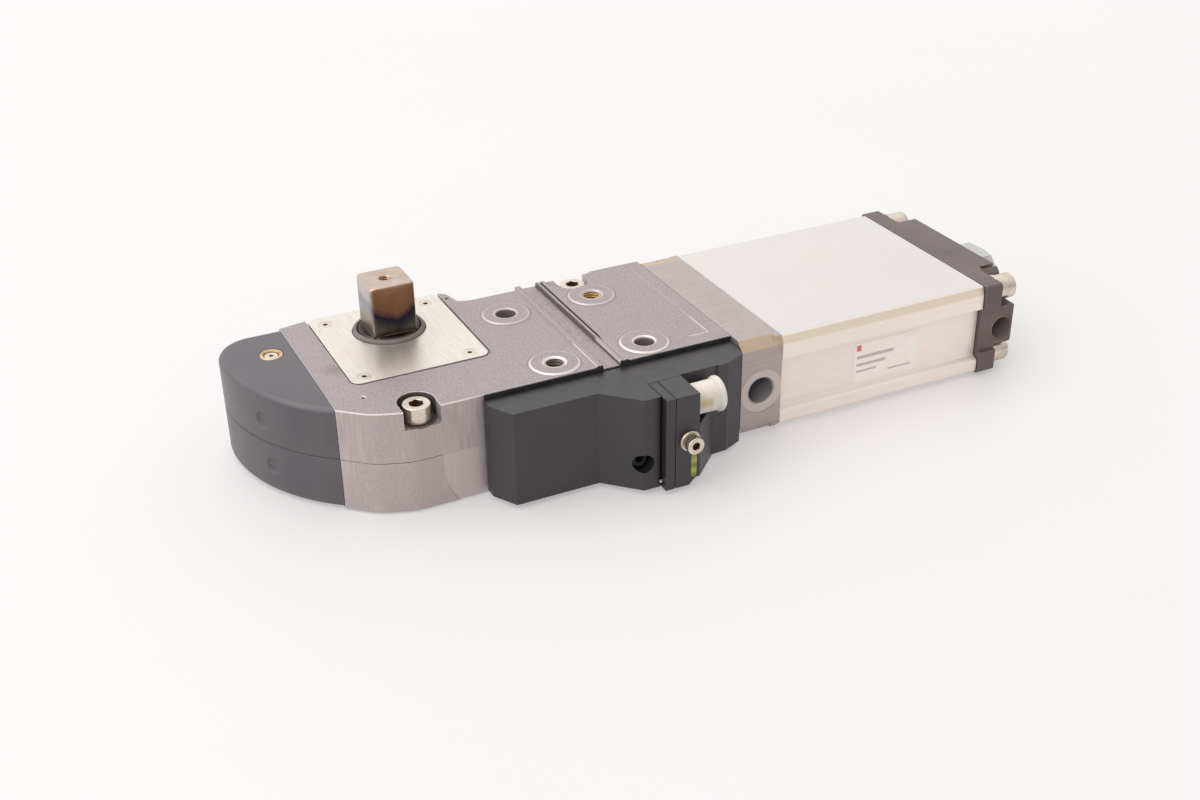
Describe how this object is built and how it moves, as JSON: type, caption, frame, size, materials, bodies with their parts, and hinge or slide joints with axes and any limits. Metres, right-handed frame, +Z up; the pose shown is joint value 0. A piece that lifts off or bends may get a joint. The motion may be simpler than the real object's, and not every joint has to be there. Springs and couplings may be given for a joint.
{
  "type": "toggle power clamp cylinder",
  "caption": "Flat pneumatic power clamp cylinder: an oval piston and toggle link turn a square clamp arm shaft a quarter turn; with switch unit and air ports.",
  "frame": {"origin": "in the plane of the lower mounting pads' faces, in line with the far row of mounting holes, below the middle of the seal plate; the arm shaft's axis stands at x 3.5 mm, y 11.5 mm", "axes": "+Z up along the arm shaft towards its square end, +X along the cylinder towards the head cover, +Y away from the switch unit"},
  "size_m": [0.4074, 0.1537, 0.079],
  "materials": {
    "cast_body": "as-cast, lightly brushed on the ground faces",
    "rod_cover": "machined, satin",
    "cap_plastic": "satin moulded",
    "seal_plate": "brushed",
    "shaft_steel": "hardened, heat tinted",
    "screw_steel": "bright nickel",
    "machine_steel": "ground",
    "brass": "turned",
    "rubber": "matt",
    "black_anodised": "black anodised, fine satin",
    "tube_anodised": "clear anodised",
    "head_casting": "satin dark paint",
    "zinc": "zinc plated",
    "bronze": "sintered",
    "white_plastic": "translucent satin",
    "label": "plain film, no text",
    "amber_lens": "clear tinted"
  },
  "bodies": {
    "housing": {"body_upper_half": "cast_body", "body_lower_half": "cast_body", "rod_cover": "rod_cover", "nose_cap_upper": "cap_plastic", "nose_cap_lower": "cap_plastic", "seal_plate": "seal_plate", "bottom_cover": "seal_plate", "plate_screw_1": "screw_steel", "plate_screw_2": "screw_steel", "plate_screw_3": "screw_steel", "plate_screw_4": "screw_steel", "body_screw_near": "screw_steel", "body_screw_far": "screw_steel", "cap_screw_upper": "screw_steel", "cap_screw_lower": "screw_steel", "tie_bolt_1": "screw_steel", "tie_bolt_2": "screw_steel", "tie_bolt_3": "screw_steel", "tie_bolt_4": "screw_steel", "switch_washer": "screw_steel", "switch_screw": "screw_steel", "rail_pin": "screw_steel", "cap_insert_upper": "brass", "cap_insert_lower": "brass", "connector_shell": "brass", "shaft_scraper": "rubber", "switch_gasket": "rubber", "rod_seal": "rubber", "switch_bracket": "black_anodised", "switch_rail": "black_anodised", "switch_housing": "black_anodised", "bracket_set_screw": "black_anodised", "cylinder_tube": "tube_anodised", "head_cover": "head_casting", "head_plug": "zinc", "shaft_bush_upper": "bronze", "shaft_bush_lower": "bronze", "rod_bush": "bronze", "connector_cap": "white_plastic", "proximity_head_1": "white_plastic", "proximity_head_2": "white_plastic", "blank_label": "label", "light_window": "amber_lens"},
    "arm": {"arm_shaft": "shaft_steel", "lever_pin": "machine_steel"},
    "link": {"toggle_link": "shaft_steel"},
    "carriage": {"knuckle": "machine_steel", "knuckle_pin_lower": "machine_steel", "knuckle_pin_upper": "machine_steel", "striker": "machine_steel", "piston_rod": "machine_steel", "piston": "tube_anodised", "piston_ring": "rubber"},
    "roller_lower": {"guide_roller_lower": "shaft_steel"},
    "roller_upper": {"guide_roller_upper": "shaft_steel"}
  },
  "joints": [
    {"name": "piston_slide", "type": "slide", "parent": "housing", "child": "carriage", "axis": [-1, 0, 0], "range_m": [0, 0.0461]},
    {"name": "arm_turn", "type": "hinge", "parent": "housing", "child": "arm", "pos_m": [0.0035, 0.0115, 0.0263], "axis": [0, 0, -1], "range_deg": [0, 90]},
    {"name": "link_swing", "type": "hinge", "parent": "arm", "child": "link", "pos_m": [0.016, -0.01015, 0.0263], "axis": [0, 0, 1], "range_deg": [0, 58.8]},
    {"name": "roller_lower_spin", "type": "hinge", "parent": "carriage", "child": "roller_lower", "pos_m": [0.03836, -0.027, 0.009], "axis": [0, 0, 1], "range_deg": [0, 353]},
    {"name": "roller_upper_spin", "type": "hinge", "parent": "carriage", "child": "roller_upper", "pos_m": [0.03836, -0.027, 0.0435], "axis": [0, 0, 1], "range_deg": [0, 353]}
  ],
  "couplings": [
    {"joint": "arm_turn", "follows": "piston_slide", "rad_per_m": 34.07},
    {"joint": "link_swing", "follows": "piston_slide", "rad_per_m": 22.255},
    {"joint": "roller_lower_spin", "follows": "piston_slide", "rad_per_m": 133.3},
    {"joint": "roller_upper_spin", "follows": "piston_slide", "rad_per_m": 133.3}
  ]
}
